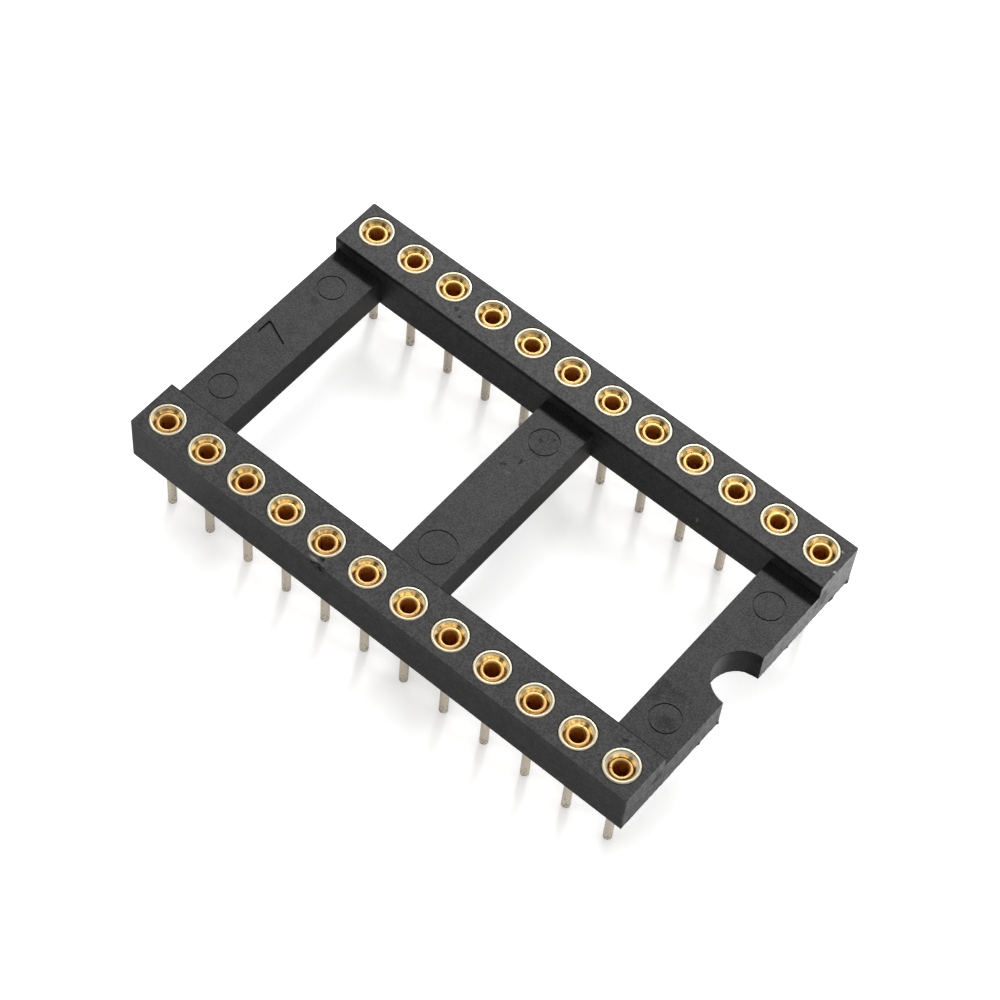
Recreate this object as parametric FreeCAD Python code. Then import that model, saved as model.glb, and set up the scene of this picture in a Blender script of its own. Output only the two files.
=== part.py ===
import FreeCAD, Part
import math
import os

# A 24-contact dual in-line socket with turned contacts.
# Millimetres. The origin is the centre of the contact grid, on the board that the socket seats on.
# +X runs along the rows towards the end with the notch, and +Z points up from the board.

Vector = FreeCAD.Vector
UP = Vector(0, 0, 1)
FULL_TURN = 360

# Contact grid
contacts_per_row = 12
contact_pitch = 2.54
row_spacing = 15.24

# Housing: two raised rails joined by three lower crossbars
standoff = 1.40
body_height = 2.79
end_land = 1.27
rail_outer_land = 1.27
rail_inner_land = 1.65
crossbar_width = 3.0
crossbar_drop = 0.87
left_bar_inset = 0.12
notch_radius = 1.55

# Witness rings of the ejector pins, two on each crossbar
ring_offset = 3.98
ring_radius_left = 0.72
ring_radius_middle_back = 0.78
ring_radius_middle_front = 0.95
ring_radius_right = 0.78
ring_line_width = 0.06
ring_line_depth = 0.05

# Plain cavity numeral sunk into the left crossbar
numeral_height = 1.5
numeral_width = 0.9
numeral_stroke = 0.16
numeral_depth = 0.1
numeral_shift = 0.22
numeral_foot = 0.18

# Turned sleeve
head_radius = 0.915
head_height = 0.45
head_clearance = 0.03
rim_width = 0.155
rim_round = 0.05
funnel_depth = 0.22
bore_radius = 0.56
bore_depth = 3.4
drill_point_angle = 118.0
barrel_radius = 0.675
shoulder_radius = 0.45
shoulder_taper = 0.45
tail_radius = 0.23
tail_length = 3.18
tail_tip_chamfer = 0.08

# Spring clip pressed into the sleeve's bore
clip_wall = 0.16
clip_recess = 0.01
clip_lip_round = 0.06
clip_collar_height = 0.5
clip_length = 2.1
clip_throat_radius = 0.18
clip_finger_gap = 0.12
clip_fingers = 4
clip_seam_gap = 0.05
clip_turn_step = 137.5

# Places worked out from the sizes above
rail_top = standoff + body_height
crossbar_top = rail_top - crossbar_drop
half_length = (contacts_per_row - 1) * contact_pitch / 2 + end_land
half_row = row_spacing / 2
half_width = half_row + rail_outer_land
window_half_width = half_row - rail_inner_land
end_bar_centre = half_length - crossbar_width / 2
mouth_radius = head_radius - rim_width
clip_top = rail_top - funnel_depth - clip_recess
bore_floor = rail_top - bore_depth


def box(x_range, y_range, z_range):
    """A box between the given limits."""
    size = [high - low for low, high in (x_range, y_range, z_range)]
    return Part.makeBox(*size, Vector(x_range[0], y_range[0], z_range[0]))


def rounded_corner(before, corner, after, radius):
    """Start, middle and end of the arc that rounds a corner, or the corner itself."""
    if radius <= 0:
        return corner, None, corner
    back = (before - corner).normalize()
    ahead = (after - corner).normalize()
    half_angle = back.getAngle(ahead) / 2
    trim = radius / math.tan(half_angle)
    inward = (back + ahead).normalize()
    middle = corner + inward * (radius / math.sin(half_angle) - radius)
    return corner + back * trim, middle, corner + ahead * trim


def turned(corners):
    """A solid of revolution about Z. Each corner of its profile is radius, height and rounding."""
    points = [Vector(radius, 0, height) for radius, height, _ in corners]
    arcs = []
    for i, (_, _, rounding) in enumerate(corners):
        following = points[(i + 1) % len(points)]
        arcs.append(rounded_corner(points[i - 1], points[i], following, rounding))
    edges = []
    for i, (start, middle, end) in enumerate(arcs):
        if middle:
            edges.append(Part.Arc(start, middle, end).toShape())
        edges.append(Part.LineSegment(end, arcs[(i + 1) % len(arcs)][0]).toShape())
    return Part.Face(Part.Wire(edges)).revolve(Vector(), UP, FULL_TURN)


def contact_places():
    """The centres of the contacts: the front row from the left, then the back row."""
    first = -(contacts_per_row - 1) * contact_pitch / 2
    for y in (-half_row, half_row):
        for i in range(contacts_per_row):
            yield Vector(first + i * contact_pitch, y, 0)


def crossbar_centres():
    return -end_bar_centre, 0.0, end_bar_centre


def housing_blank():
    """The ladder frame: rails at full height, crossbars stepped down between them."""
    along = (-half_length, half_length)
    between_rails = (-window_half_width, window_half_width)
    body = box(along, (-half_width, half_width), (standoff, rail_top))
    cuts = [box(along, between_rails, (crossbar_top, rail_top))]
    centres = crossbar_centres()
    for left, right in zip(centres, centres[1:]):
        window = (left + crossbar_width / 2, right - crossbar_width / 2)
        cuts.append(box(window, between_rails, (standoff, crossbar_top)))
    left_end = (-half_length, -half_length + left_bar_inset)
    cuts.append(box(left_end, between_rails, (standoff, crossbar_top)))
    cuts.append(Part.makeCylinder(notch_radius, body_height, Vector(half_length, 0, standoff)))
    return body.cut(cuts)


def contact_hole(place):
    """A stepped hole: a counterbore for the contact's head over a hole that grips its barrel."""
    hole = Part.makeCylinder(barrel_radius, body_height, place + UP * standoff)
    counterbore = Part.makeCylinder(
        head_radius + head_clearance, head_height, place + UP * (rail_top - head_height)
    )
    return hole.fuse(counterbore)


def witness_ring(x, y, radius):
    """A fine round groove where an ejector pin met the moulding."""
    floor = Vector(x, y, crossbar_top - ring_line_depth)
    outer = Part.makeCylinder(radius + ring_line_width / 2, ring_line_depth, floor)
    inner = Part.makeCylinder(radius - ring_line_width / 2, ring_line_depth, floor)
    return outer.cut(inner)


def witness_rings():
    left, middle, right = crossbar_centres()
    return [
        witness_ring(left, -ring_offset, ring_radius_left),
        witness_ring(left, ring_offset, ring_radius_left),
        witness_ring(middle, -ring_offset, ring_radius_middle_front),
        witness_ring(middle, ring_offset, ring_radius_middle_back),
        witness_ring(right, -ring_offset, ring_radius_right),
        witness_ring(right, ring_offset, ring_radius_right),
    ]


def stroke(start, end):
    """A straight round-ended stroke of the numeral, sunk into the crossbar's top."""
    depth = UP * numeral_depth
    along = end - start
    side = along.cross(UP).normalize() * (numeral_stroke / 2)
    outline = Part.makePolygon([start + side, end + side, end - side, start - side, start + side])
    groove = Part.Face(outline).extrude(depth)
    for tip in (start, end):
        groove = groove.fuse(Part.makeCylinder(numeral_stroke / 2, numeral_depth, tip))
    return groove


def cavity_numeral():
    """A plain 7, its head towards the end face."""
    floor = crossbar_top - numeral_depth
    head_x = -end_bar_centre - numeral_shift - (numeral_height - numeral_stroke) / 2
    foot_x = head_x + numeral_height - numeral_stroke
    reach = (numeral_width - numeral_stroke) / 2
    corner = Vector(head_x, reach, floor)
    bar = stroke(Vector(head_x, -reach, floor), corner)
    leg = stroke(corner, Vector(foot_x, -numeral_foot, floor))
    return bar.fuse(leg)


def make_housing():
    body = housing_blank()
    for place in contact_places():
        body = body.cut(contact_hole(place))
    for ring in witness_rings():
        body = body.cut(ring)
    return body.cut(cavity_numeral())


def make_sleeve():
    """A turned sleeve on the Z axis: head, barrel, shoulder and solder tail, drilled from the top."""
    rounding = min(rim_round, rim_width / 3, head_height / 3)
    tail_end = -tail_length
    drill_tip = bore_floor - bore_radius / math.tan(math.radians(drill_point_angle / 2))
    return turned([
        (0, tail_end, 0),
        (tail_radius - tail_tip_chamfer, tail_end, 0),
        (tail_radius, tail_end + tail_tip_chamfer, 0),
        (tail_radius, 0, 0),
        (shoulder_radius, 0, 0),
        (barrel_radius, shoulder_taper, 0),
        (barrel_radius, rail_top - head_height, 0),
        (head_radius, rail_top - head_height, 0),
        (head_radius, rail_top, rounding),
        (mouth_radius, rail_top, rounding),
        (bore_radius, rail_top - funnel_depth, 0),
        (bore_radius, bore_floor, 0),
        (0, drill_tip, 0),
    ])


def clip_blank():
    """The clip before it is slit: a collar that grips the bore and a cone that closes to the throat."""
    rounding = min(clip_lip_round, clip_wall / 3)
    inner = bore_radius - clip_wall
    collar_end = clip_top - clip_collar_height
    clip_end = clip_top - clip_length
    return turned([
        (bore_radius, collar_end, 0),
        (bore_radius, clip_top, rounding),
        (inner, clip_top, rounding),
        (inner, collar_end, 0),
        (clip_throat_radius, clip_end, 0),
        (clip_throat_radius + clip_wall, clip_end, 0),
    ])


def slit(width, low, high, turn):
    """A thin radial slab from the axis outwards, used to slit the clip's wall."""
    slab = box((0, bore_radius + clip_wall), (-width / 2, width / 2), (low, high))
    slab.rotate(Vector(), UP, turn)
    return slab


def make_clip():
    """The clip on the Z axis: fingers parted by slits, and a seam through the collar."""
    clip = clip_blank()
    collar_end = clip_top - clip_collar_height
    clip_end = clip_top - clip_length
    for i in range(clip_fingers):
        clip = clip.cut(slit(clip_finger_gap, clip_end, collar_end, FULL_TURN * i / clip_fingers))
    return clip.cut(slit(clip_seam_gap, collar_end, clip_top, 0))


def write(name, shape):
    shape.exportStep(os.path.join("parts", name + ".step"))


def main():
    os.makedirs("parts", exist_ok=True)
    write("housing", make_housing())
    sleeve = make_sleeve()
    clip = make_clip()
    for i, place in enumerate(contact_places()):
        placed_sleeve = sleeve.copy()
        placed_sleeve.translate(place)
        write(f"sleeve_{i + 1:02d}", placed_sleeve)
        placed_clip = clip.copy()
        placed_clip.rotate(Vector(), UP, i * clip_turn_step)
        placed_clip.translate(place)
        write(f"clip_{i + 1:02d}", placed_clip)


main()
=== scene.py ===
import math
import random

import bmesh
import bpy
from bpy.props import FloatProperty, FloatVectorProperty, IntProperty, PointerProperty
from bpy.types import Operator, Panel, PropertyGroup
from mathutils import Matrix, Vector


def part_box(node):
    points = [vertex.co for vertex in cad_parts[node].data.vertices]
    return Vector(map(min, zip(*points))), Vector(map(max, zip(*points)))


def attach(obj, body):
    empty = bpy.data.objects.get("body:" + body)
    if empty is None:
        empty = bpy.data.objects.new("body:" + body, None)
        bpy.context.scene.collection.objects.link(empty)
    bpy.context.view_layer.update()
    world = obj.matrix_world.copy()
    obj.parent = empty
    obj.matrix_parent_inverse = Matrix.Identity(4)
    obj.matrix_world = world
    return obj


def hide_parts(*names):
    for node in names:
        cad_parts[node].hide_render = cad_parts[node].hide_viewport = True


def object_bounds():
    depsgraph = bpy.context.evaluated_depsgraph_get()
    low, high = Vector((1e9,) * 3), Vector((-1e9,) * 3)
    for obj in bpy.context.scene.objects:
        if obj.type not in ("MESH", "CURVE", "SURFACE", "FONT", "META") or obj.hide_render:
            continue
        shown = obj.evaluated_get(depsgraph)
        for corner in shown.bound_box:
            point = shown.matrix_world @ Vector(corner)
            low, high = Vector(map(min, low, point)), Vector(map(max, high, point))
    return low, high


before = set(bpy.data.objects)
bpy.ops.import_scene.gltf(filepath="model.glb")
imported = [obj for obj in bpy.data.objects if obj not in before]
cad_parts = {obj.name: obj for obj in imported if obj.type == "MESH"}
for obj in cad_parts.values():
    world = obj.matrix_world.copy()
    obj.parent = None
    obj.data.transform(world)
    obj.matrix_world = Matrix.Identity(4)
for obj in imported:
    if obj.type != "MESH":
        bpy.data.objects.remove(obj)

bl_info = {
    "name": "Turned-contact IC Socket",
    "version": (1, 0, 0),
    "blender": (4, 5, 0),
    "location": "View3D > Sidebar > IC Socket",
    "description": "A 24-contact dual in-line socket with turned sleeves and gold spring clips",
    "category": "Object",
}

MM = 0.001
UP = Vector((0, 0, 1))

# How near points are to count as one, and to count as lying on the same ring
WELD = 0.0001 * MM
RING_REACH = 0.005 * MM

# How many flats stand for a full circle, and how sharply faces meet at an edge
TURN_STEPS = 72
SHARP_ANGLE = math.radians(35)

# How little the triangles of a flat face lean, and the least part along one axis of its direction
FLAT_LEAN = math.radians(0.5)
FLAT_LIMIT = 0.99995

# Detail and roughness of noise, from plain to ragged, and the value that it lies about
PLAIN_NOISE = (2, 0.5)
GRAINY_NOISE = (3, 0.6)
ROUGH_NOISE = (4, 0.65)
RAGGED_NOISE = (5, 0.7)
NOISE_MIDDLE = 0.5

# How far noise strays from its middle before a pattern is fully dark or light
CRISP = 0.08
FIRM = 0.12
SOFT = 0.15
FAINT = 0.2

# The vector sums that give a number
NUMBER_SUMS = ("LENGTH", "DISTANCE", "DOT_PRODUCT")


def metres(*millimetres):
    """Lengths in metres, from lengths in millimetres."""
    return tuple(length * MM for length in millimetres)


# Longer burrs of the mould flash: place along Y, half width and length
FLASH_BURRS = (
    metres(8.6, 0.2, 0.10),
    metres(7.35, 0.3, 0.08),
    metres(3.8, 0.15, 0.05),
    metres(1.5, 0.12, 0.06),
    metres(-1.6, 0.12, 0.09),
    metres(-3.07, 0.15, 0.05),
)

# Knocks in the moulding: centre, reach and push
KNOCKS = (
    (metres(-3.3, -8.89, 4.0), metres(0.4, 0.2, 0.3), metres(0, 0.14, -0.05)),
    (metres(-3.0, -8.89, 3.8), metres(0.2, 0.15, 0.2), metres(0, 0.1, 0)),
    (metres(-3.55, -8.85, 4.19), metres(0.3, 0.12, 0.12), metres(0, -0.03, 0.04)),
    (metres(-3.0, -8.8, 4.19), metres(0.25, 0.12, 0.12), metres(0, -0.02, 0.04)),
    (metres(9.63, -5.97, 1.4), metres(0.12, 0.12, 0.25), metres(0, 0.15, 0)),
    (metres(15.24, 5.97, 4.05), metres(0.15, 0.12, 0.3), metres(0.03, -0.09, -0.02)),
)
KNOCK_STEP = 0.05 * MM

# Stains on the plastic, and dark spots at the nick in the front rail's top edge: centre, reach and strength
STAINS = (
    (metres(15.24, 6.34, 2.7), metres(0.4, 0.55, 0.6), 1.0),
    (metres(15.24, -6.48, 2.85), metres(0.4, 0.45, 0.5), 1.0),
    (metres(15.24, -3.3, 3.05), metres(0.3, 0.35, 0.15), 0.8),
    (metres(12.65, -2.9, 3.32), metres(0.3, 0.75, 0.3), 0.35),
    (metres(13.5, -2.7, 3.32), metres(0.6, 0.35, 0.3), 0.3),
    (metres(13.9, -4.2, 3.32), metres(0.55, 0.4, 0.3), 0.35),
    (metres(-0.8, 1.64, 3.32), metres(0.15, 0.06, 0.3), 0.6),
    (metres(-0.62, 1.77, 3.32), metres(0.15, 0.06, 0.3), 0.6),
    (metres(-0.13, 2.31, 3.32), metres(0.08, 0.18, 0.3), 0.8),
    (metres(-0.44, 2.44, 3.32), metres(0.18, 0.18, 0.3), 0.2),
    (metres(-0.19, 3.94, 3.32), metres(0.12, 0.12, 0.3), 0.7),
    (metres(0.28, 4.41, 3.32), metres(0.09, 0.09, 0.3), 0.7),
    (metres(0, 3.98, 3.32), metres(0.75, 0.75, 0.3), 0.2),
    (metres(-13.85, 2.81, 3.32), metres(0.25, 0.25, 0.3), 0.4),
    (metres(-3.3, -8.5, 4.19), metres(0.18, 0.1, 0.05), 1.0),
    (metres(-3.55, -8.87, 4.05), metres(0.2, 0.2, 0.13), 1.0),
    (metres(-3.1, -8.87, 3.9), metres(0.3, 0.3, 0.15), 1.0),
    (metres(-7.9, 6.69, 4.19), metres(0.16, 0.12, 0.2), 0.7),
    (metres(-7.47, 6.42, 4.19), metres(0.12, 0.1, 0.2), 0.7),
    (metres(13.32, -6.5, 4.19), metres(0.15, 0.12, 0.2), 0.7),
)

# Pale specks on the plastic: centre, reach and strength
SPECKS = (
    (metres(-0.22, 1.44, 3.32), metres(0.2, 0.08, 0.1), 0.1),
    (metres(15.16, 7.07, 4.19), metres(0.08, 0.08, 0.1), 1.0),
    (metres(14.75, 8.19, 4.19), metres(0.1, 0.06, 0.1), 0.8),
    (metres(8.0, 5.97, 2.42), metres(0.08, 0.1, 0.18), 0.25),
    (metres(-3.6, -8.72, 4.2), metres(0.3, 0.07, 0.1), 0.4),
)

# Where a spot starts to fade and where it ends, as shares of its reach, and how ragged it is
SPOT_EDGE = (0.7, 1.2)
SPOT_RAGGEDNESS = 2.5

# Where the pale walls of the studio leave a darker gap, as seen from the socket
WALL_GAPS = (math.radians(-109), math.radians(27))

# Between which heights a gap grows to its full depth and the walls fade out, as sines of elevation
GAP_HEIGHTS = (0.29, 0.38)
WALL_TOP = (0.46, 0.62)

# The depth of a gap at its foot, and the cosines of the angles at which it starts and is full
GAP_FOOT_DEPTH = 0.45
GAP_SIDES = (0.93, 0.98)

# Which way the main light lies, how far the floor reaches and how wide the camera's film is, in mm
KEY_DIRECTION = Vector((-0.30, 0.60, 0.76))
FLOOR_REACH = 2.0
SENSOR_WIDTH = 36

# Which way the seam of some clips faces, seen from above
SEAM_TURNS = {24: 3, 12: -146, 3: 175, 4: -141, 1: -40, 13: -50}

CAD_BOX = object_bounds()
CONTACT_COUNT = sum(name.startswith("sleeve_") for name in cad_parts)
HOUSING_LOW, HOUSING_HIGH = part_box("housing")
SLEEVE_LOW, SLEEVE_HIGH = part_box("sleeve_01")
CLIP_LOW, CLIP_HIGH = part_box("clip_01")
RAIL_TOP = HOUSING_HIGH.z
HEAD_RADIUS = (SLEEVE_HIGH.x - SLEEVE_LOW.x) / 2
CLIP_RADIUS = (CLIP_HIGH.y - CLIP_LOW.y) / 2

# Sizes of the moulding that its box doesn't give: from a row's line to the rail's inner side, and the notch
RAIL_INNER_LAND = 1.65 * MM
NOTCH_RADIUS = 1.55 * MM


def contact_axes():
    """The point of each contact's axis at board level, in the order of their numbers."""
    middles = [sum(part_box(f"sleeve_{i + 1:02d}"), Vector()) / 2 for i in range(CONTACT_COUNT)]
    return [Vector((middle.x, middle.y, 0)) for middle in middles]


CONTACTS = contact_axes()


def finish_piece(bm, name, material):
    """Makes the finished mesh an object that rides on the frame."""
    mesh = bpy.data.meshes.new(name)
    bm.to_mesh(mesh)
    bm.free()
    mesh.materials.append(material)
    mesh.shade_smooth()
    mesh.set_sharp_from_angle(angle=SHARP_ANGLE)
    piece = bpy.data.objects.new(name, mesh)
    bpy.context.scene.collection.objects.link(piece)
    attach(piece, "root")
    return piece


def feed(tree, socket, value):
    """Links an input to the socket that gives its value, or sets the value itself."""
    if isinstance(value, bpy.types.NodeSocket):
        tree.links.new(value, socket)
    else:
        socket.default_value = value


def feed_all(tree, node, inputs):
    """Links or sets each of a node's named inputs."""
    for name, value in inputs.items():
        feed(tree, node.inputs[name], value)


def add_node(tree, kind, inputs=None, **options):
    """A node of that kind, with its options and inputs set."""
    made = tree.nodes.new(kind)
    for option, value in options.items():
        setattr(made, option, value)
    feed_all(tree, made, inputs or {})
    return made


def object_place(tree):
    """Where a point lies on the part, in metres."""
    return add_node(tree, "ShaderNodeTexCoord").outputs["Object"]


def maths(tree, operation, *values):
    """The result of one sum on numbers or sockets."""
    return add_node(tree, "ShaderNodeMath", dict(enumerate(values)), operation=operation).outputs[0]


def vector_maths(tree, operation, *values):
    """The result of one sum on vectors, a number or a vector as the operation gives."""
    made = add_node(tree, "ShaderNodeVectorMath", dict(enumerate(values)), operation=operation)
    return made.outputs["Value" if operation in NUMBER_SUMS else "Vector"]


def split(tree, place):
    """The X, Y and Z of a place."""
    return add_node(tree, "ShaderNodeSeparateXYZ", {"Vector": place}).outputs


def distance_across(tree, x, y):
    """How far a point is from an upright axis, when x and y are its offsets from it."""
    across = add_node(tree, "ShaderNodeCombineXYZ", {"X": x, "Y": y}).outputs["Vector"]
    return vector_maths(tree, "LENGTH", across)


def mottle(tree, place, size, noise=PLAIN_NOISE):
    """Noise whose blotches are about that size, between 0 and 1."""
    detail, roughness = noise
    inputs = {"Vector": place, "Scale": 1 / size, "Detail": detail, "Roughness": roughness}
    return add_node(tree, "ShaderNodeTexNoise", inputs).outputs["Fac"]


def remap(tree, value, low, high, to_low, to_high):
    """A value between low and high, stretched to another range and held inside it."""
    inputs = {"Value": value, "From Min": low, "From Max": high, "To Min": to_low, "To Max": to_high}
    return add_node(tree, "ShaderNodeMapRange", inputs).outputs["Result"]


def about_middle(tree, noise, stray, to_low=0, to_high=1):
    """Noise stretched so that straying that far below and above its middle gives the two ends."""
    return remap(tree, noise, NOISE_MIDDLE - stray, NOISE_MIDDLE + stray, to_low, to_high)


def blend(tree, factor, first, second):
    """The first colour turning into the second as the factor goes from 0 to 1."""
    mixer = add_node(tree, "ShaderNodeMix", data_type="RGBA")
    sockets = {s.identifier: s for s in mixer.inputs}
    for identifier, value in (("Factor_Float", factor), ("A_Color", first), ("B_Color", second)):
        feed(tree, sockets[identifier], value)
    return next(s for s in mixer.outputs if s.identifier == "Result_Color")


def shade(colour, factor=1.0):
    """A colour made lighter or darker, with full opacity."""
    return (*[channel * factor for channel in colour], 1.0)


def shades(tree, factor, colour, darkest, lightest=1.0):
    """A colour from its darkest to its lightest shade, as the factor goes from 0 to 1."""
    return blend(tree, factor, shade(colour, darkest), shade(colour, lightest))


def new_material(name):
    """An empty material, its node tree and its shader."""
    material = bpy.data.materials.new(name)
    material.use_nodes = True
    return material, material.node_tree, material.node_tree.nodes["Principled BSDF"]


def bump(tree, height, depth):
    """A surface normal from a height between 0 and 1 that stands for a real depth."""
    return add_node(tree, "ShaderNodeBump", {"Height": height, "Distance": depth}).outputs["Normal"]


def spot_mask(tree, place, ragged, spots):
    """How strongly a point is marked by any of the spots: ragged ovals between 0 and 1."""
    mask = 0.0
    for centre, reach, strength in spots:
        offset = vector_maths(tree, "SUBTRACT", place, centre)
        away = vector_maths(tree, "LENGTH", vector_maths(tree, "DIVIDE", offset, reach))
        edge = maths(tree, "ADD", away, ragged)
        mask = maths(tree, "MAXIMUM", mask, remap(tree, edge, *SPOT_EDGE, strength, 0))
    return mask


def rail_edge_painted_shade(tree, parts):
    """Painted shade: a thin dark line along the inner top edge of both rails, where the plastic reflects
    less.
    """
    inner = abs(CONTACTS[0].y) - RAIL_INNER_LAND
    fade = metres(0.02, 0.07)
    foot, head = metres(0.35, 0.2)
    from_edge = maths(tree, "SUBTRACT", maths(tree, "ABSOLUTE", parts["Y"]), inner)
    line = remap(tree, maths(tree, "ABSOLUTE", from_edge), *fade, 1, 0)
    at_top = remap(tree, parts["Z"], RAIL_TOP - foot, RAIL_TOP - head, 0, 1)
    return maths(tree, "MULTIPLY", line, at_top)


def notch_wall_painted_shade(tree, parts):
    """Painted shade: 1 on the dark wall of the notch towards the back rail, fading out along the curve."""
    skin, fade = metres(0.03, 0.8)
    from_end = maths(tree, "SUBTRACT", parts["X"], HOUSING_HIGH.x)
    radius = distance_across(tree, from_end, parts["Y"])
    on_wall = maths(tree, "LESS_THAN", radius, NOTCH_RADIUS + skin)
    return maths(tree, "MULTIPLY", on_wall, remap(tree, parts["Y"], 0, fade, 0, 1))


def plastic_tone(tree, grain, cloud):
    """How light the plastic is: mostly its grain, with some of the mottling, between 0 and 1."""
    grain_share = 0.7
    of_grain = maths(tree, "MULTIPLY", grain, grain_share)
    of_cloud = maths(tree, "MULTIPLY", cloud, 1 - grain_share)
    return about_middle(tree, maths(tree, "ADD", of_grain, of_cloud), CRISP)


def plastic_gloss(tree, settings, parts, tone, blotch):
    """How strongly the plastic reflects: grainy, patchy on the notched end, less on the crossbars."""
    swing, patch_swing, crossbar_gloss = 0.32, 0.6, 0.91
    skin, step_foot, step_head = metres(0.06, 0.8, 0.3)
    grainy = remap(tree, tone, 0, 1, settings.gloss * (1 - swing), settings.gloss * (1 + swing))
    on_end = remap(tree, parts["X"], HOUSING_HIGH.x - skin, HOUSING_HIGH.x, 0, 1)
    patchy = about_middle(tree, blotch, FIRM, 1 - patch_swing, 1 + patch_swing)
    patched = maths(tree, "MULTIPLY", grainy, maths(tree, "POWER", patchy, on_end))
    on_rail = remap(tree, parts["Z"], RAIL_TOP - step_foot, RAIL_TOP - step_head, crossbar_gloss, 1)
    return maths(tree, "MULTIPLY", patched, on_rail)


def plastic_material(settings):
    """Black moulded plastic: a fine even grain, faint mottling, a soft sheen and a few stains, with painted
    shade along the rails' inner top edges and on the notch wall.
    """
    material, tree, shader = new_material("moulded_plastic")
    stain_shade, stain_depth, shadow_depth, roughness_swing = 0.4, 0.75, 0.8, 0.02
    place = object_place(tree)
    parts = split(tree, place)
    grain = mottle(tree, place, settings.grain_size, ROUGH_NOISE)
    cloud = mottle(tree, place, settings.mottle_size, ROUGH_NOISE)
    blotch = mottle(tree, place, settings.mottle_size / 2, RAGGED_NOISE)
    tone = plastic_tone(tree, grain, cloud)
    colour = shades(tree, tone, settings.colour, darkest=0.6, lightest=1.4)
    ragged = maths(tree, "MULTIPLY", maths(tree, "SUBTRACT", blotch, NOISE_MIDDLE), SPOT_RAGGEDNESS)
    stain = spot_mask(tree, place, ragged, STAINS)
    speck = spot_mask(tree, place, ragged, SPECKS)
    stained = blend(tree, stain, colour, shade(settings.colour, stain_shade))
    gloss = plastic_gloss(tree, settings, parts, tone, blotch)
    # Painted shade: the line along the rails' inner top edges and the notch wall. Together with the stains,
    # it takes away the plastic's reflection.
    shadow = maths(tree, "MAXIMUM", rail_edge_painted_shade(tree, parts), notch_wall_painted_shade(tree, parts))
    dulled = maths(tree, "MULTIPLY", stain, stain_depth)
    dark = maths(tree, "MAXIMUM", dulled, maths(tree, "MULTIPLY", shadow, shadow_depth))
    low, high = settings.sheen_spread - roughness_swing, settings.sheen_spread + roughness_swing
    feed_all(tree, shader, {
        "Base Color": blend(tree, speck, stained, shade(settings.speck_colour)),
        "Roughness": about_middle(tree, cloud, FAINT, low, high),
        "Specular IOR Level": maths(tree, "MULTIPLY", gloss, maths(tree, "SUBTRACT", 1, dark)),
        "IOR": 1.55,
        "Normal": bump(tree, grain, settings.grain_depth),
    })
    return material


def turned_place(tree):
    """The distance from the contact's own axis and the height, which is what a lathe's marks follow."""
    first, second = CONTACTS[:2]
    half_pitch = (second.x - first.x) / 2
    parts = split(tree, object_place(tree))
    from_first = maths(tree, "SUBTRACT", parts["X"], first.x)
    x = maths(tree, "WRAP", from_first, half_pitch, -half_pitch)
    y = maths(tree, "SUBTRACT", maths(tree, "ABSOLUTE", parts["Y"]), abs(first.y))
    radius = distance_across(tree, x, y)
    height = parts["Z"]
    own = add_node(tree, "ShaderNodeObjectInfo").outputs["Random"]
    along = add_node(tree, "ShaderNodeCombineXYZ", {"X": radius, "Y": height, "Z": own}).outputs["Vector"]
    return along, radius, height


def drilled_mask(tree, settings, radius, height):
    """1 in the funnel and the bore, rising from the rim down, and 0 on the outside of the sleeve."""
    foot = RAIL_TOP - settings.bore_depth - settings.drill_depth
    margin, step = metres(0.05, 0.02)
    rim_end, full_depth, head_skin = metres(0.03, 0.09, 0.1)
    bore_top = RAIL_TOP - settings.funnel_depth - margin
    reach = remap(tree, height, bore_top, bore_top + step, CLIP_RADIUS + margin, HEAD_RADIUS - head_skin)
    inside = maths(tree, "LESS_THAN", radius, reach)
    above_foot = maths(tree, "GREATER_THAN", height, foot)
    depth = remap(tree, height, RAIL_TOP - rim_end, RAIL_TOP - full_depth, 0, 1)
    return maths(tree, "MULTIPLY", depth, maths(tree, "MULTIPLY", inside, above_foot))


def head_colour(tree, settings, marks, cloud, in_funnel):
    """Pale plating on the rim and the barrel, and gold in the funnel, with brownish patches painted in for
    the dark reflections it shows.
    """
    patch_noise, patch_strength = (0.45, 0.6), 0.85
    plating = shades(tree, about_middle(tree, cloud, SOFT), settings.colour, darkest=0.9)
    gold = shades(tree, about_middle(tree, marks, SOFT), settings.funnel_colour, darkest=0.55)
    reflection_patch_noise = mottle(tree, object_place(tree), settings.funnel_reflection_patch_size, GRAINY_NOISE)
    patch = remap(tree, reflection_patch_noise, *patch_noise, 0, patch_strength)
    gold_with_painted_reflections = blend(tree, patch, gold, shade(settings.funnel_reflection_patch_colour))
    return blend(tree, in_funnel, plating, gold_with_painted_reflections)


def tail_colour(tree, settings, grain, height):
    """Dull tin with dark flecks, more of them towards the tip."""
    near, far = metres(0.3, 1.2)
    tip_flecks, flecks, fleck_edge = 0.41, 0.3, 0.08
    tip = SLEEVE_LOW.z
    low_tone = remap(tree, height, tip + near, tip + far, tip_flecks, flecks)
    clear = remap(tree, maths(tree, "SUBTRACT", grain, low_tone), 0, fleck_edge, 0, 1)
    return shades(tree, clear, settings.tail_colour, darkest=0.4, lightest=1.05)


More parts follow.
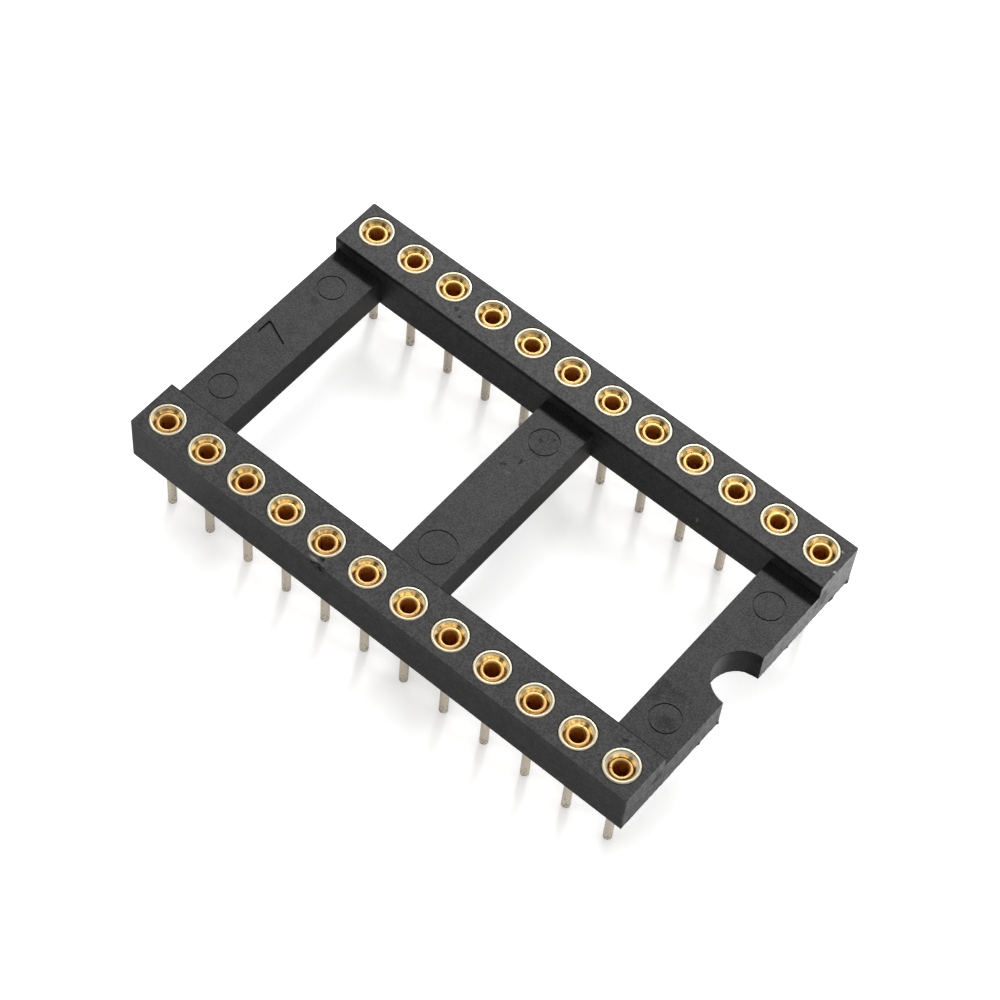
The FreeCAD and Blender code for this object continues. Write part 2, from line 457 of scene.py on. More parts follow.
def sleeve_material(settings):
    """Pale plating with lathe marks on the head, turning to dull grainy tin on the tail."""
    material, tree, shader = new_material("sleeve_plating")
    plating_end, tin_start, cloud_size = metres(0.5, -0.1, 0.4)
    tail_dullness, funnel_shine, mark_share = 0.24, 0.28, 0.5
    smoother, rougher = settings.roughness - 0.04, settings.roughness + 0.05
    place = object_place(tree)
    turned, radius, height = turned_place(tree)
    marks = mottle(tree, turned, settings.lathe_mark_size)
    grain = mottle(tree, place, settings.tin_grain_size, GRAINY_NOISE)
    cloud = mottle(tree, place, cloud_size)
    on_tail = remap(tree, height, plating_end, tin_start, 0, 1)
    in_funnel = drilled_mask(tree, settings, radius, height)
    on_head = head_colour(tree, settings, marks, cloud, in_funnel)
    shine = about_middle(tree, cloud, FAINT, smoother, rougher)
    duller = maths(tree, "MULTIPLY", on_tail, tail_dullness)
    dullness = maths(tree, "SUBTRACT", duller, maths(tree, "MULTIPLY", in_funnel, funnel_shine))
    mark_relief = maths(tree, "MULTIPLY", marks, mark_share)
    relief = maths(tree, "ADD", mark_relief, maths(tree, "MULTIPLY", grain, on_tail))
    feed_all(tree, shader, {
        "Base Color": blend(tree, on_tail, on_head, tail_colour(tree, settings, grain, height)),
        "Metallic": 1.0,
        "Roughness": maths(tree, "ADD", shine, dullness),
        "Normal": bump(tree, relief, settings.mark_depth),
    })
    return material


def clip_material(settings):
    """Gold plating on the spring clips, with faint drawing marks, and a deeper orange inside that paints in
    the light bouncing round the throat.
    """
    material, tree, shader = new_material("clip_gold")
    grain_size, cloud_size, lip_end, throat_start = metres(0.05, 0.3, 0.04, 0.1)
    throat_dullness = 0.3
    smoother, rougher = settings.roughness - 0.04, settings.roughness + 0.06
    place = object_place(tree)
    grain = mottle(tree, place, grain_size, GRAINY_NOISE)
    cloud = mottle(tree, place, cloud_size)
    height = split(tree, place)["Z"]
    inside = remap(tree, height, CLIP_HIGH.z - lip_end, CLIP_HIGH.z - throat_start, 0, 1)
    speckle = about_middle(tree, grain, SOFT)
    throat_with_bounce_light = shades(tree, speckle, settings.throat_gold_and_bounce_colour, darkest=0.75, lightest=1.2)
    lip = shades(tree, about_middle(tree, cloud, SOFT), settings.colour, darkest=0.88)
    shine = about_middle(tree, cloud, FAINT, smoother, rougher)
    feed_all(tree, shader, {
        "Base Color": blend(tree, inside, lip, throat_with_bounce_light),
        "Metallic": 1.0,
        "Roughness": maths(tree, "ADD", shine, maths(tree, "MULTIPLY", inside, throat_dullness)),
        "Normal": bump(tree, grain, settings.grain_depth),
    })
    return material


class HousingSettings(PropertyGroup):
    corner_radius: FloatProperty(
        name="Corner radius", description="Rounding of the moulding's four upright corners",
        default=0.1 * MM, min=0, precision=6, unit="LENGTH")
    edge_radius: FloatProperty(
        name="Edge radius", description="Rounding of the moulding's long edges",
        default=0.04 * MM, min=0, precision=6, unit="LENGTH")
    mouth_radius: FloatProperty(
        name="Hole edge radius", description="Rounding where a contact's counterbore meets the rail top",
        default=0.012 * MM, min=0, precision=6, unit="LENGTH")
    grain_size: FloatProperty(
        name="Grain size", description="Size of the moulded grain",
        default=0.09 * MM, min=0, precision=6, unit="LENGTH")
    grain_depth: FloatProperty(
        name="Grain depth", description="Depth of the moulded grain",
        default=0.003 * MM, min=0, precision=6, unit="LENGTH")
    mottle_size: FloatProperty(
        name="Mottle size", description="Size of the faint cloudy patches",
        default=0.6 * MM, min=0, precision=6, unit="LENGTH")
    gloss: FloatProperty(
        name="Gloss", description="How strongly the plastic reflects",
        default=0.55, min=0, max=1, subtype="FACTOR")
    sheen_spread: FloatProperty(
        name="Roughness", description="How widely the plastic spreads a reflection",
        default=0.48, min=0, max=1, subtype="FACTOR")
    colour: FloatVectorProperty(
        name="Plastic colour", description="Colour of the moulded plastic",
        default=(0.010, 0.010, 0.0105), min=0, max=1, subtype="COLOR")
    speck_colour: FloatVectorProperty(
        name="Speck colour", description="Colour of the few pale specks",
        default=(0.5, 0.45, 0.35), min=0, max=1, subtype="COLOR")


class FlashSettings(PropertyGroup):
    reach: FloatProperty(
        name="Reach", description="How far the ragged fin stands out",
        default=0.02 * MM, min=0, precision=6, unit="LENGTH")
    root: FloatProperty(
        name="Root", description="How far the fin starts inside the plastic",
        default=0.05 * MM, min=0, precision=6, unit="LENGTH")
    step: FloatProperty(
        name="Step", description="Distance between the points of the ragged edge",
        default=0.07 * MM, min=0.01 * MM, precision=6, unit="LENGTH")
    notch_radius: FloatProperty(
        name="Notch radius", description="Radius of the half-round notch in the end",
        default=NOTCH_RADIUS, min=0, precision=6, unit="LENGTH")
    seed: IntProperty(
        name="Seed", description="Picks the shape of the ragged edge",
        default=2, min=0)


class SleeveSettings(PropertyGroup):
    head_height: FloatProperty(
        name="Head height", description="Height of the sleeve's head",
        default=0.45 * MM, min=0, precision=6, unit="LENGTH")
    rim_width: FloatProperty(
        name="Rim width", description="Width of the rim round the funnel",
        default=0.145 * MM, min=0, precision=6, unit="LENGTH")
    rim_round: FloatProperty(
        name="Rim rounding", description="Rounding of the rim's two edges",
        default=0.035 * MM, min=0, precision=6, unit="LENGTH")
    funnel_depth: FloatProperty(
        name="Funnel depth", description="Depth of the funnel that leads into the bore",
        default=0.22 * MM, min=0, precision=6, unit="LENGTH")
    bore_depth: FloatProperty(
        name="Bore depth", description="Depth of the bore below the rim",
        default=3.4 * MM, min=0, precision=6, unit="LENGTH")
    drill_depth: FloatProperty(
        name="Drill point depth", description="Depth of the cone that the drill left below the bore",
        default=0.336 * MM, min=0, precision=6, unit="LENGTH")
    barrel_radius: FloatProperty(
        name="Barrel radius", description="Radius of the sleeve's barrel",
        default=0.675 * MM, min=0, precision=6, unit="LENGTH")
    shoulder_radius: FloatProperty(
        name="Shoulder radius", description="Radius of the shoulder where it seats on the board",
        default=0.45 * MM, min=0, precision=6, unit="LENGTH")
    shoulder_height: FloatProperty(
        name="Shoulder height", description="Height of the tapered shoulder",
        default=0.45 * MM, min=0, precision=6, unit="LENGTH")
    tail_radius: FloatProperty(
        name="Tail radius", description="Radius of the solder tail",
        default=0.23 * MM, min=0, precision=6, unit="LENGTH")
    tail_chamfer: FloatProperty(
        name="Tail chamfer", description="Chamfer at the tail's tip",
        default=0.08 * MM, min=0, precision=6, unit="LENGTH")
    proud_contact: IntProperty(
        name="Proud contact", description="Number of the contact that isn't pressed fully home",
        default=12, min=0)
    proud_by: FloatProperty(
        name="Proud by", description="How far that contact stands up",
        default=0.05 * MM, min=0, precision=6, unit="LENGTH")
    lathe_mark_size: FloatProperty(
        name="Lathe mark size", description="Spacing of the marks that the lathe left",
        default=0.06 * MM, min=0, precision=6, unit="LENGTH")
    tin_grain_size: FloatProperty(
        name="Tin grain size", description="Size of the grain on the tails",
        default=0.09 * MM, min=0, precision=6, unit="LENGTH")
    # Painted reflection: the funnel's brownish patches stand in for the dark things it reflects.
    funnel_reflection_patch_size: FloatProperty(
        name="Tarnish size", description="Size of the brownish patches in the funnel",
        default=0.24 * MM, min=0, precision=6, unit="LENGTH")
    mark_depth: FloatProperty(
        name="Mark depth", description="Depth of the lathe marks and the tin's grain",
        default=0.002 * MM, min=0, precision=6, unit="LENGTH")
    roughness: FloatProperty(
        name="Roughness", description="How widely the bright plating spreads a reflection",
        default=0.43, min=0, max=1, subtype="FACTOR")
    colour: FloatVectorProperty(
        name="Plating colour", description="Colour of the plating on the head and barrel",
        default=(0.70, 0.63, 0.46), min=0, max=1, subtype="COLOR")
    funnel_colour: FloatVectorProperty(
        name="Funnel colour", description="Colour of the gold in the funnel",
        default=(1.0, 0.60, 0.165), min=0, max=1, subtype="COLOR")
    # Colour of the painted reflection patches in the funnel.
    funnel_reflection_patch_colour: FloatVectorProperty(
        name="Tarnish colour", description="Colour of the patches in the funnel",
        default=(0.28, 0.17, 0.075), min=0, max=1, subtype="COLOR")
    tail_colour: FloatVectorProperty(
        name="Tail colour", description="Colour of the dull tin on the tails",
        default=(0.86, 0.79, 0.68), min=0, max=1, subtype="COLOR")


class ClipSettings(PropertyGroup):
    wall: FloatProperty(
        name="Wall", description="Thickness of the clip's wall",
        default=0.165 * MM, min=0, precision=6, unit="LENGTH")
    lip_round: FloatProperty(
        name="Lip rounding", description="Rounding of the clip's lip",
        default=0.045 * MM, min=0, precision=6, unit="LENGTH")
    collar_height: FloatProperty(
        name="Collar height", description="Height of the collar that grips the bore",
        default=0.5 * MM, min=0, precision=6, unit="LENGTH")
    throat_radius: FloatProperty(
        name="Throat radius", description="Radius that the fingers close to",
        default=0.18 * MM, min=0, precision=6, unit="LENGTH")
    fingers: IntProperty(
        name="Fingers", description="How many spring fingers each clip has",
        default=4, min=2, max=8)
    slit_turn: FloatProperty(
        name="Slit turn", description="Which way the slits between the fingers face",
        default=math.radians(79), subtype="ANGLE")
    seam_closing: FloatProperty(
        name="Seam closing", description="How far the collar's seam is pressed shut",
        default=0.35, min=0, max=0.9, subtype="FACTOR")
    out_of_round: FloatProperty(
        name="Out of round", description="How far a clip may be squashed out of round",
        default=0.05, min=0, max=0.2, subtype="FACTOR")
    seed: IntProperty(
        name="Seed", description="Picks the seams and shapes that are left to chance",
        default=5, min=0)
    grain_depth: FloatProperty(
        name="Grain depth", description="Depth of the gold's faint grain",
        default=0.001 * MM, min=0, precision=6, unit="LENGTH")
    roughness: FloatProperty(
        name="Roughness", description="How widely the gold spreads a reflection",
        default=0.42, min=0, max=1, subtype="FACTOR")
    colour: FloatVectorProperty(
        name="Gold colour", description="Colour of the gold plating",
        default=(0.75, 0.47, 0.17), min=0, max=1, subtype="COLOR")
    # Gold with painted bounce light: the throat is deeper orange than the lip, standing in for light
    # bouncing inside the clip.
    throat_gold_and_bounce_colour: FloatVectorProperty(
        name="Throat colour", description="Colour of the gold inside the clip",
        default=(0.78, 0.44, 0.10), min=0, max=1, subtype="COLOR")


class StageSettings(PropertyGroup):
    azimuth: FloatProperty(
        name="Azimuth", description="How far round to the right the camera stands",
        default=math.radians(34.41), subtype="ANGLE")
    elevation: FloatProperty(
        name="Elevation", description="How far above the horizon the camera stands",
        default=math.radians(57.87), subtype="ANGLE")
    roll: FloatProperty(
        name="Roll", description="How far the camera is turned about its own line of sight",
        default=math.radians(6.38), subtype="ANGLE")
    distance: FloatProperty(
        name="Distance", description="Distance from the camera to the middle of the rail tops",
        default=141.45 * MM, min=0, precision=5, unit="LENGTH")
    aim: FloatVectorProperty(
        name="Aim", description="How far right and up of the middle the camera stands",
        default=(0.346 * MM, -0.737 * MM), size=2, precision=6, unit="LENGTH")
    lens: FloatProperty(
        name="Lens", description="Focal length of the camera",
        default=106.9, min=1, unit="CAMERA")
    key_strength: FloatProperty(
        name="Key light", description="Strength of the main soft light behind the socket",
        default=0.95, min=0)
    key_size: FloatProperty(
        name="Key size", description="How wide the main light looks from the socket",
        default=math.radians(10), subtype="ANGLE")
    surround: FloatProperty(
        name="Surround", description="Brightness of the pale walls round the stage",
        default=1.2, min=0)
    side_fill: FloatProperty(
        name="Side fill", description="How much brighter the walls are on the right than on the left",
        default=0.5, min=0)
    gap_light: FloatProperty(
        name="Gap light", description="How much light is left in the gaps between the walls",
        default=0.12, min=0, max=1, subtype="FACTOR")
    ceiling: FloatProperty(
        name="Ceiling", description="Brightness of the dim ceiling over the stage",
        default=0.10, min=0)
    floor_colour: FloatVectorProperty(
        name="Floor colour", description="Colour of the pale floor",
        default=(0.85, 0.85, 0.85), min=0, max=1, subtype="COLOR")
    floor_glow: FloatProperty(
        name="Floor glow", description="How far the floor is lifted towards white, as on a light table",
        default=0.92, min=0)
    shade_reach: FloatProperty(
        name="Shade reach", description="How near the socket must be to shade the floor softly",
        default=5.8 * MM, min=0, precision=5, unit="LENGTH")
    shade_depth: FloatProperty(
        name="Shade depth", description="How much of the lift is lost where the socket covers the floor",
        default=0.5, min=0, max=1, subtype="FACTOR")
    # The pool is painted light: a glow on the floor beside the notched end that only reflections see.
    pool_place: FloatVectorProperty(
        name="Pool place", description="Middle of the brighter pool on the floor beside the notched end",
        default=(30 * MM, 20 * MM, 0), precision=5, subtype="TRANSLATION")
    pool_reach: FloatProperty(
        name="Pool reach", description="How far the brighter pool spreads",
        default=34 * MM, min=0, precision=5, unit="LENGTH")
    pool_strength: FloatProperty(
        name="Pool strength", description="How bright the pool is in reflections",
        default=2.6, min=0)


def merged_copy(node_name):
    """A bmesh copy of a CAD node's triangles, welded and with its flat faces whole again."""
    bm = bmesh.new()
    bm.from_mesh(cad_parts[node_name].data)
    bmesh.ops.remove_doubles(bm, verts=bm.verts, dist=WELD)
    bmesh.ops.dissolve_limit(bm, angle_limit=FLAT_LEAN, verts=bm.verts, edges=bm.edges)
    return bm


def from_contact(point):
    """How far a point lies from the nearest contact's axis, seen from above."""
    return min(math.hypot(point.x - axis.x, point.y - axis.y) for axis in CONTACTS)


def is_convex_sharp(edge):
    return len(edge.link_faces) == 2 and edge.is_convex and edge.calc_face_angle() > SHARP_ANGLE


def bevel_edges(bm, edges, radius, segments):
    bmesh.ops.bevel(
        bm, geom=edges, offset=radius, offset_type="OFFSET", segments=segments,
        profile=0.5, affect="EDGES", material=-1, clamp_overlap=True)


def reaches_into(face, low, high):
    """Whether a face may lie partly inside a box."""
    return all(
        min(vert.co[i] for vert in face.verts) < high[i] and max(vert.co[i] for vert in face.verts) > low[i]
        for i in range(3)
    )


def cut_finely(bm, low, high, step):
    """Cuts the faces that reach into a box at an even step along X, Y and Z."""
    for axis in range(3):
        normal = Vector(int(i == axis) for i in range(3))
        faces = [face for face in bm.faces if reaches_into(face, low, high)]
        edges = {edge for face in faces for edge in face.edges}
        verts = {vert for face in faces for vert in face.verts}
        parts = [*verts, *edges, *faces]
        for i in range(round((high[axis] - low[axis]) / step) + 1):
            middle = normal * (low[axis] + i * step)
            made = bmesh.ops.bisect_plane(bm, geom=parts, dist=WELD, plane_co=middle, plane_no=normal)
            parts = made["geom"]


def knock(bm, centre, reach, push):
    """Pushes the surface near a point, most at the point itself."""
    centre, reach, push = Vector(centre), Vector(reach), Vector(push)
    cut_finely(bm, centre - reach, centre + reach, KNOCK_STEP)
    for vert in bm.verts:
        away = Vector((vert.co[i] - centre[i]) / reach[i] for i in range(3)).length
        if away < 1:
            vert.co += push * (1 - away**2) ** 2


def is_outer_corner(edge):
    """Whether an edge is one of the four upright corners of the moulding."""
    first, second = (vert.co for vert in edge.verts)
    at_end = abs(abs(first.x) - HOUSING_HIGH.x) < WELD and abs(abs(second.x) - HOUSING_HIGH.x) < WELD
    at_side = abs(abs(first.y) - HOUSING_HIGH.y) < WELD and abs(abs(second.y) - HOUSING_HIGH.y) < WELD
    return at_end and at_side and abs(first.z - second.z) > WELD


def housing_mesh(settings):
    """The moulding: the CAD solid with its corners, long edges and hole edges rounded, and its knocks."""
    bm = merged_copy("housing")
    corners = [edge for edge in bm.edges if is_outer_corner(edge)]
    bevel_edges(bm, corners, settings.corner_radius, segments=4)
    hole_reach = HEAD_RADIUS * 1.15
    least_area = 0.18 * MM**2
    long_edges = []
    mouth_edges = []
    for edge in bm.edges:
        if not is_convex_sharp(edge):
            continue
        middle = (edge.verts[0].co + edge.verts[1].co) / 2
        if from_contact(middle) < hole_reach:
            if middle.z > RAIL_TOP - WELD:
                mouth_edges.append(edge)
        elif min(face.calc_area() for face in edge.link_faces) > least_area:
            long_edges.append(edge)
    bevel_edges(bm, long_edges, settings.edge_radius, segments=3)
    mouth_edges = [edge for edge in mouth_edges if edge.is_valid]
    bevel_edges(bm, mouth_edges, settings.mouth_radius, segments=2)
    for centre, reach, push in KNOCKS:
        knock(bm, centre, reach, push)
    return bm


class ICSOCKET_OT_housing(Operator):
    """Build the black moulded housing"""

    bl_idname = "icsocket.housing"
    bl_label = "Build Housing"

    def execute(self, context):
        settings = context.scene.icsocket_housing
        bm = housing_mesh(settings)
        housing = finish_piece(bm, "moulded_housing", plastic_material(settings))
        for face in housing.data.polygons:
            face.use_smooth = max(abs(part) for part in face.normal) < FLAT_LIMIT
        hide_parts("housing")
        return {"FINISHED"}


def end_outline(settings):
    """Points along the foot of the notched end, each with the way out of the plastic."""
    end, side = HOUSING_HIGH.x, HOUSING_HIGH.y
    step, notch = settings.step, settings.notch_radius
    count = round((side - notch) / step)
    straight = [-side + (side - notch) * i / count for i in range(count)]
    turns = round(math.pi * notch / step)
    angles = [-math.pi / 2 - math.pi * i / turns for i in range(turns + 1)]
    outline = [(Vector((end, y, 0)), Vector((1, 0, 0))) for y in straight]
    for angle in angles:
        way = Vector((math.cos(angle), math.sin(angle), 0))
        outline.append((Vector((end, 0, 0)) + way * notch, -way))
    outline += [(Vector((end, -y, 0)), Vector((1, 0, 0))) for y in reversed(straight)]
    return outline


def flash_mesh(settings):
    """A thin ragged fin along the foot of the notched end, with a few longer burrs."""
    least, tip_rise, root_rise, least_burr = 0.1, 0.2, 1.3, 0.7
    chance = random.Random(settings.seed)
    bm = bmesh.new()
    rows = []
    for place, out in end_outline(settings):
        place.z = HOUSING_LOW.z
        reach = settings.reach * chance.uniform(least, 1)
        for y, width, length in FLASH_BURRS:
            reach += length * max(0, 1 - abs(place.y - y) / width) * chance.uniform(least_burr, 1)
        rows.append([
            bm.verts.new(place - out * settings.root),
            bm.verts.new(place + out * reach + UP * reach * tip_rise),
            bm.verts.new(place - out * settings.root + UP * (settings.root + reach * root_rise)),
        ])
    for first, second in zip(rows, rows[1:]):
        for i in range(3):
            j = (i + 1) % 3
            bm.faces.new((first[i], first[j], second[j], second[i]))
    bm.faces.new(rows[0])
    bm.faces.new(rows[-1])
    bmesh.ops.recalc_face_normals(bm, faces=bm.faces)
    return bm


class ICSOCKET_OT_flash(Operator):
    """Build the ragged fin that the mould left along the notched end"""

    bl_idname = "icsocket.flash"
    bl_label = "Build Mould Flash"

    def execute(self, context):
        bm = flash_mesh(context.scene.icsocket_flash)
        finish_piece(bm, "mould_flash", bpy.data.materials["moulded_plastic"])
        return {"FINISHED"}


def spun(profile):
    """A round sheet about the upright axis, from a line of (radius, height) points."""
    bm = bmesh.new()
    verts = [bm.verts.new((radius, 0, height)) for radius, height in profile]
    edges = [bm.edges.new(pair) for pair in zip(verts, verts[1:])]
    bmesh.ops.spin(
        bm, geom=verts + edges, cent=Vector(), axis=UP, angle=math.tau, steps=TURN_STEPS, use_merge=True)
    return bm


def ring_edges(bm, radius, height):
    """The edges of the circle at that radius and height."""

    def on_ring(vert):
        off_line = abs(math.hypot(vert.co.x, vert.co.y) - radius)
        return off_line < RING_REACH and abs(vert.co.z - height) < RING_REACH

    return [edge for edge in bm.edges if all(on_ring(vert) for vert in edge.verts)]


def sleeve_mesh(settings):
    """A turned sleeve on its own axis: tail, shoulder, barrel, head, funnel and bore."""
    tail_end = SLEEVE_LOW.z
    head_foot = RAIL_TOP - settings.head_height
    mouth = HEAD_RADIUS - settings.rim_width
    bore_floor = RAIL_TOP - settings.bore_depth
    bm = spun([
        (0, tail_end),
        (settings.tail_radius - settings.tail_chamfer, tail_end),
        (settings.tail_radius, tail_end + settings.tail_chamfer),
        (settings.tail_radius, 0),
        (settings.shoulder_radius, 0),
        (settings.barrel_radius, settings.shoulder_height),
        (settings.barrel_radius, head_foot),
        (HEAD_RADIUS, head_foot),
        (HEAD_RADIUS, RAIL_TOP),
        (mouth, RAIL_TOP),
        (CLIP_RADIUS, RAIL_TOP - settings.funnel_depth),
        (CLIP_RADIUS, bore_floor),
        (0, bore_floor - settings.drill_depth),
    ])
    bmesh.ops.remove_doubles(bm, verts=bm.verts, dist=WELD)
    bmesh.ops.recalc_face_normals(bm, faces=bm.faces)
    bevel_edges(bm, ring_edges(bm, HEAD_RADIUS, RAIL_TOP), settings.rim_round, segments=3)
    bevel_edges(bm, ring_edges(bm, mouth, RAIL_TOP), settings.rim_round, segments=4)
    return bm


class ICSOCKET_OT_sleeves(Operator):
    """Build the turned sleeves with their solder tails"""

    bl_idname = "icsocket.sleeves"
    bl_label = "Build Sleeves"

    def execute(self, context):
        settings = context.scene.icsocket_sleeve
        material = sleeve_material(settings)
        for number, axis in enumerate(CONTACTS, 1):
            bm = sleeve_mesh(settings)
            lift = settings.proud_by if number == settings.proud_contact else 0
            bmesh.ops.translate(bm, verts=bm.verts, vec=axis + UP * lift)
            sleeve = finish_piece(bm, f"turned_sleeve_{number:02d}", material)
            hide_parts(f"sleeve_{number:02d}")
        return {"FINISHED"}


def open_slits(bm, settings, slit_turn, collar_end):
    """Takes out the faces at the collar's seam and between the fingers."""
    column = math.tau / TURN_STEPS
    slit_reach = column * 1.1
    finger_pitch = math.tau / settings.fingers
    slits = []
    for face in bm.faces:
        middle = face.calc_center_median()
        angle = math.atan2(middle.y, middle.x) % math.tau
        from_slit = abs((angle - slit_turn + finger_pitch / 2) % finger_pitch - finger_pitch / 2)
        in_collar = middle.z > collar_end
        if (in_collar and angle < column) or (not in_collar and from_slit < slit_reach):
            slits.append(face)
    bmesh.ops.delete(bm, geom=slits, context="FACES")


def press_seam(bm, closing, collar_end):
    """Turns both sides of the collar's seam towards its middle."""
    column = math.tau / TURN_STEPS
    for vert in bm.verts:
        from_seam = math.atan2(vert.co.y, vert.co.x) - column / 2
        if vert.co.z > collar_end - WELD and abs(from_seam) < column:
            vert.co = Matrix.Rotation(-from_seam * closing, 3, "Z") @ vert.co


def clip_mesh(settings, slit_turn):
    """A spring clip on its own axis: a collar with a seam at 0 degrees, over slit fingers."""
    outer_share = 0.2
    inner = CLIP_RADIUS - settings.wall
    collar_end = CLIP_HIGH.z - settings.collar_height
    bm = spun([
        (CLIP_RADIUS, CLIP_HIGH.z),
        (CLIP_RADIUS, collar_end),
        (settings.throat_radius + settings.wall, CLIP_LOW.z),
    ])
    bmesh.ops.recalc_face_normals(bm, faces=bm.faces)
    open_slits(bm, settings, slit_turn, collar_end)
    press_seam(bm, settings.seam_closing, collar_end)
    bmesh.ops.solidify(bm, geom=bm.faces[:], thickness=settings.wall)
    outer_round = settings.lip_round * outer_share
    bevel_edges(bm, ring_edges(bm, CLIP_RADIUS, CLIP_HIGH.z), outer_round, segments=3)
    bevel_edges(bm, ring_edges(bm, inner, CLIP_HIGH.z), settings.lip_round, segments=4)
    return bm


class ICSOCKET_OT_clips(Operator):
    """Build the gold spring clips inside the sleeves"""

    bl_idname = "icsocket.clips"
    bl_label = "Build Clips"

    def execute(self, context):
        settings = context.scene.icsocket_clip
        material = clip_material(settings)
        chance = random.Random(settings.seed)
        for number, axis in enumerate(CONTACTS, 1):
            turn = math.radians(SEAM_TURNS.get(number, chance.uniform(-180, 180)))
            bm = clip_mesh(settings, settings.slit_turn - turn)
            squash = 1 - settings.out_of_round * chance.random()
            oval = Matrix.Diagonal((squash, 1, 1))
            seam = Matrix.Rotation(turn, 3, "Z")
            bmesh.ops.transform(bm, verts=bm.verts, matrix=(seam @ oval).to_4x4())
            bmesh.ops.translate(bm, verts=bm.verts, vec=axis)
            clip = finish_piece(bm, f"spring_clip_{number:02d}", material)
            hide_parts(f"clip_{number:02d}")
        return {"FINISHED"}


def floor_material(settings):
    """A pale matt floor, lifted towards white where the camera sees it, as on a light table, with soft
    shade painted into its colour and glow where the socket covers it, and a pool of light painted beside
    the notched end that only reflections see.
    """
    material, tree, _ = new_material("pale_floor")
    tree.nodes.clear()
    covered, clear, shadow_shade, pool_edge = 0.68, 0.9, 0.6, 2 * MM
    nearness = add_node(tree, "ShaderNodeAmbientOcclusion", {"Distance": settings.shade_reach}, samples=8)
    # Painted shade: the floor's colour and glow darken where the socket covers it.
    shaded = remap(tree, nearness.outputs["AO"], covered, clear, 1 - settings.shade_depth, 1)
    colour = shades(tree, shaded, settings.floor_colour, darkest=shadow_shade)
    matt = add_node(tree, "ShaderNodeBsdfDiffuse", {"Color": colour})
    seen = add_node(tree, "ShaderNodeLightPath").outputs["Is Camera Ray"]
    place = object_place(tree)
    away = vector_maths(tree, "DISTANCE", place, settings.pool_place)
    spread = remap(tree, away, 0, settings.pool_reach, settings.pool_strength, 0)
    end = CAD_BOX[1].x
    beside = remap(tree, split(tree, place)["X"], end, end + pool_edge, 0, 1)
    # A pool of light painted into the floor's glow beside the notched end, seen only in reflections.
    pool = maths(tree, "MULTIPLY", spread, beside)
    glow_here = maths(tree, "MULTIPLY", shaded, settings.floor_glow)
    lift = add_node(tree, "ShaderNodeMix", {0: seen, 2: pool, 3: glow_here}).outputs[0]
    glow = add_node(tree, "ShaderNodeEmission", {"Strength": lift})
    both = add_node(tree, "ShaderNodeAddShader", {0: matt.outputs[0], 1: glow.outputs[0]})
    add_node(tree, "ShaderNodeOutputMaterial", {"Surface": both.outputs[0]})
    return material


def make_floor(settings):
    bm = bmesh.new()
    bmesh.ops.create_grid(bm, x_segments=1, y_segments=1, size=FLOOR_REACH)
    mesh = bpy.data.meshes.new("floor")
    bm.to_mesh(mesh)
    bm.free()
    mesh.materials.append(floor_material(settings))
    floor = bpy.data.objects.new("floor", mesh)
    floor.location.z = CAD_BOX[0].z
    bpy.context.scene.collection.objects.link(floor)


def make_surround(settings):
    """Pale walls with two gaps between them, fading into a dim ceiling."""
    world = bpy.data.worlds.new("studio")
    world.use_nodes = True
    bpy.context.scene.world = world
    tree = world.node_tree
    direction = add_node(tree, "ShaderNodeTexCoord").outputs["Generated"]
    parts = split(tree, direction)
    brightest = settings.surround * (1 + settings.side_fill)
    walls = remap(tree, parts["X"], -1, 1, settings.surround, brightest)
    flat = add_node(tree, "ShaderNodeCombineXYZ", {"X": parts["X"], "Y": parts["Y"]}).outputs[0]
    level = vector_maths(tree, "NORMALIZE", flat)
    depth = remap(tree, parts["Z"], *GAP_HEIGHTS, GAP_FOOT_DEPTH, 1 - settings.gap_light)
    for azimuth in WALL_GAPS:
        middle = (math.cos(azimuth), math.sin(azimuth), 0)
        facing = vector_maths(tree, "DOT_PRODUCT", level, middle)
        dimmed = maths(tree, "MULTIPLY", depth, remap(tree, facing, *GAP_SIDES, 0, 1))
        walls = maths(tree, "MULTIPLY", walls, maths(tree, "SUBTRACT", 1, dimmed))
    strength = remap(tree, parts["Z"], *WALL_TOP, walls, settings.ceiling)
    tree.links.new(strength, tree.nodes["Background"].inputs["Strength"])
    tree.nodes["Background"].inputs["Color"].default_value = (1, 1, 1, 1)


def make_key_light(settings):
    """The main light: high behind the socket and a little to its left."""
    light = bpy.data.lights.new("key", "SUN")
    light.energy = settings.key_strength
    light.angle = settings.key_size
    key = bpy.data.objects.new("key", light)
    key.rotation_euler = KEY_DIRECTION.to_track_quat("Z", "Y").to_euler()
    bpy.context.scene.collection.objects.link(key)


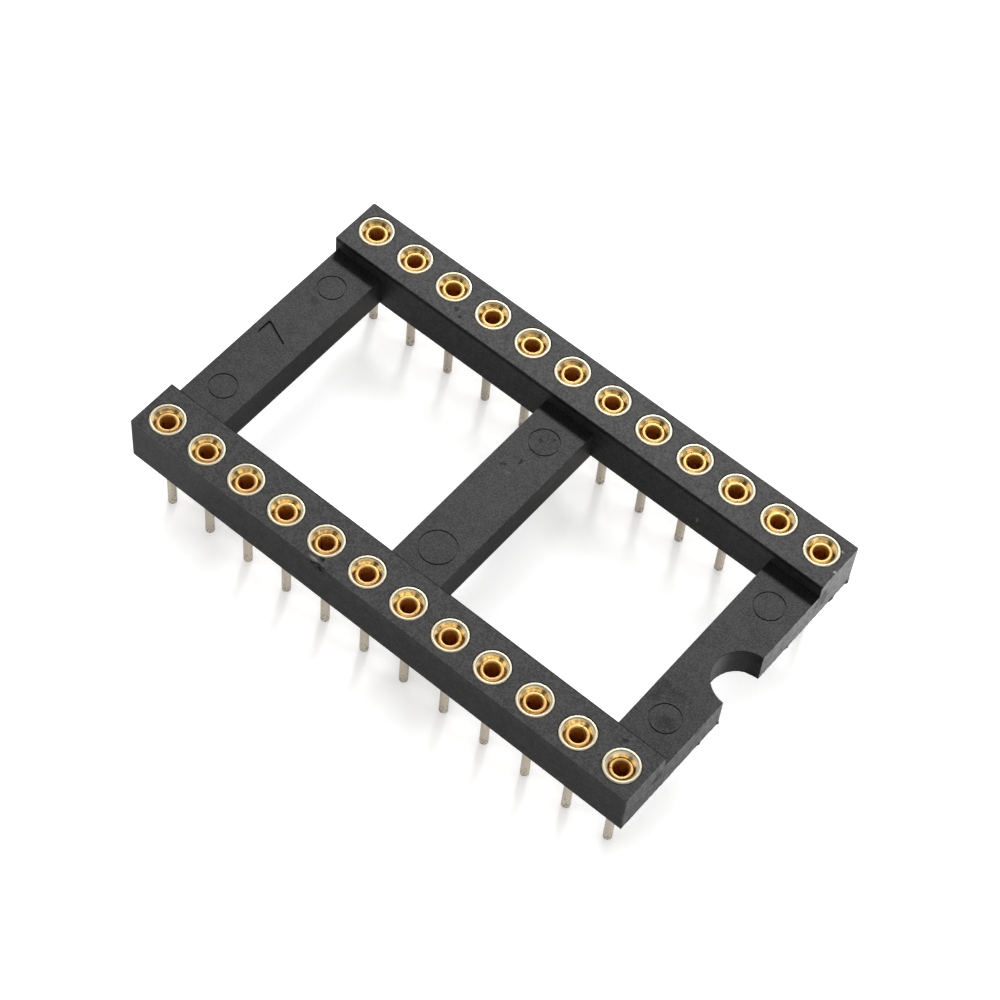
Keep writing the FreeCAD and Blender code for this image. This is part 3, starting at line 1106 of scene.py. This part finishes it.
def make_camera(settings):
    """The camera at the photograph's angle, aimed near the middle of the rail tops."""
    azimuth, elevation, roll = settings.azimuth, settings.elevation, settings.roll
    back = Vector((
        math.sin(azimuth) * math.cos(elevation),
        -math.cos(azimuth) * math.cos(elevation),
        math.sin(elevation),
    ))
    level = Vector((math.cos(azimuth), math.sin(azimuth), 0))
    upright = back.cross(level)
    right = math.cos(roll) * level + math.sin(roll) * upright
    up = math.cos(roll) * upright - math.sin(roll) * level
    place = right * settings.aim[0] + up * settings.aim[1] + back * settings.distance
    place.z += RAIL_TOP
    data = bpy.data.cameras.new("camera")
    data.lens = settings.lens
    data.sensor_width = SENSOR_WIDTH
    data.clip_start = 1 * MM
    camera = bpy.data.objects.new("camera", data)
    camera.matrix_world = Matrix.Translation(place) @ Matrix((right, up, back)).transposed().to_4x4()
    bpy.context.scene.collection.objects.link(camera)
    bpy.context.scene.camera = camera


class ICSOCKET_OT_stage(Operator):
    """Build the floor, the lights and the camera"""

    bl_idname = "icsocket.stage"
    bl_label = "Build Stage"

    def execute(self, context):
        settings = context.scene.icsocket_stage
        make_floor(settings)
        make_surround(settings)
        make_key_light(settings)
        make_camera(settings)
        context.scene.view_settings.view_transform = "Standard"
        return {"FINISHED"}


class ICSOCKET_PT_panel(Panel):
    """Sizes, finishes and build buttons of the socket"""

    bl_label = "IC Socket"
    bl_idname = "ICSOCKET_PT_panel"
    bl_space_type = "VIEW_3D"
    bl_region_type = "UI"
    bl_category = "IC Socket"

    def draw(self, context):
        scene = context.scene
        for settings, operator in (
            (scene.icsocket_housing, "icsocket.housing"),
            (scene.icsocket_flash, "icsocket.flash"),
            (scene.icsocket_sleeve, "icsocket.sleeves"),
            (scene.icsocket_clip, "icsocket.clips"),
            (scene.icsocket_stage, "icsocket.stage"),
        ):
            box = self.layout.box()
            for name in settings.__annotations__:
                box.prop(settings, name)
            box.operator(operator)


SETTINGS = {
    "icsocket_housing": HousingSettings,
    "icsocket_flash": FlashSettings,
    "icsocket_sleeve": SleeveSettings,
    "icsocket_clip": ClipSettings,
    "icsocket_stage": StageSettings,
}
CLASSES = (
    *SETTINGS.values(),
    ICSOCKET_OT_housing,
    ICSOCKET_OT_flash,
    ICSOCKET_OT_sleeves,
    ICSOCKET_OT_clips,
    ICSOCKET_OT_stage,
    ICSOCKET_PT_panel,
)


def register():
    for each in CLASSES:
        bpy.utils.register_class(each)
    for name, group in SETTINGS.items():
        setattr(bpy.types.Scene, name, PointerProperty(type=group))


def unregister():
    for name in SETTINGS:
        delattr(bpy.types.Scene, name)
    for each in reversed(CLASSES):
        bpy.utils.unregister_class(each)


def main():
    register()
    bpy.ops.icsocket.housing()
    bpy.ops.icsocket.flash()
    bpy.ops.icsocket.sleeves()
    bpy.ops.icsocket.clips()
    bpy.ops.icsocket.stage()


if __name__ == "__main__":
    main()
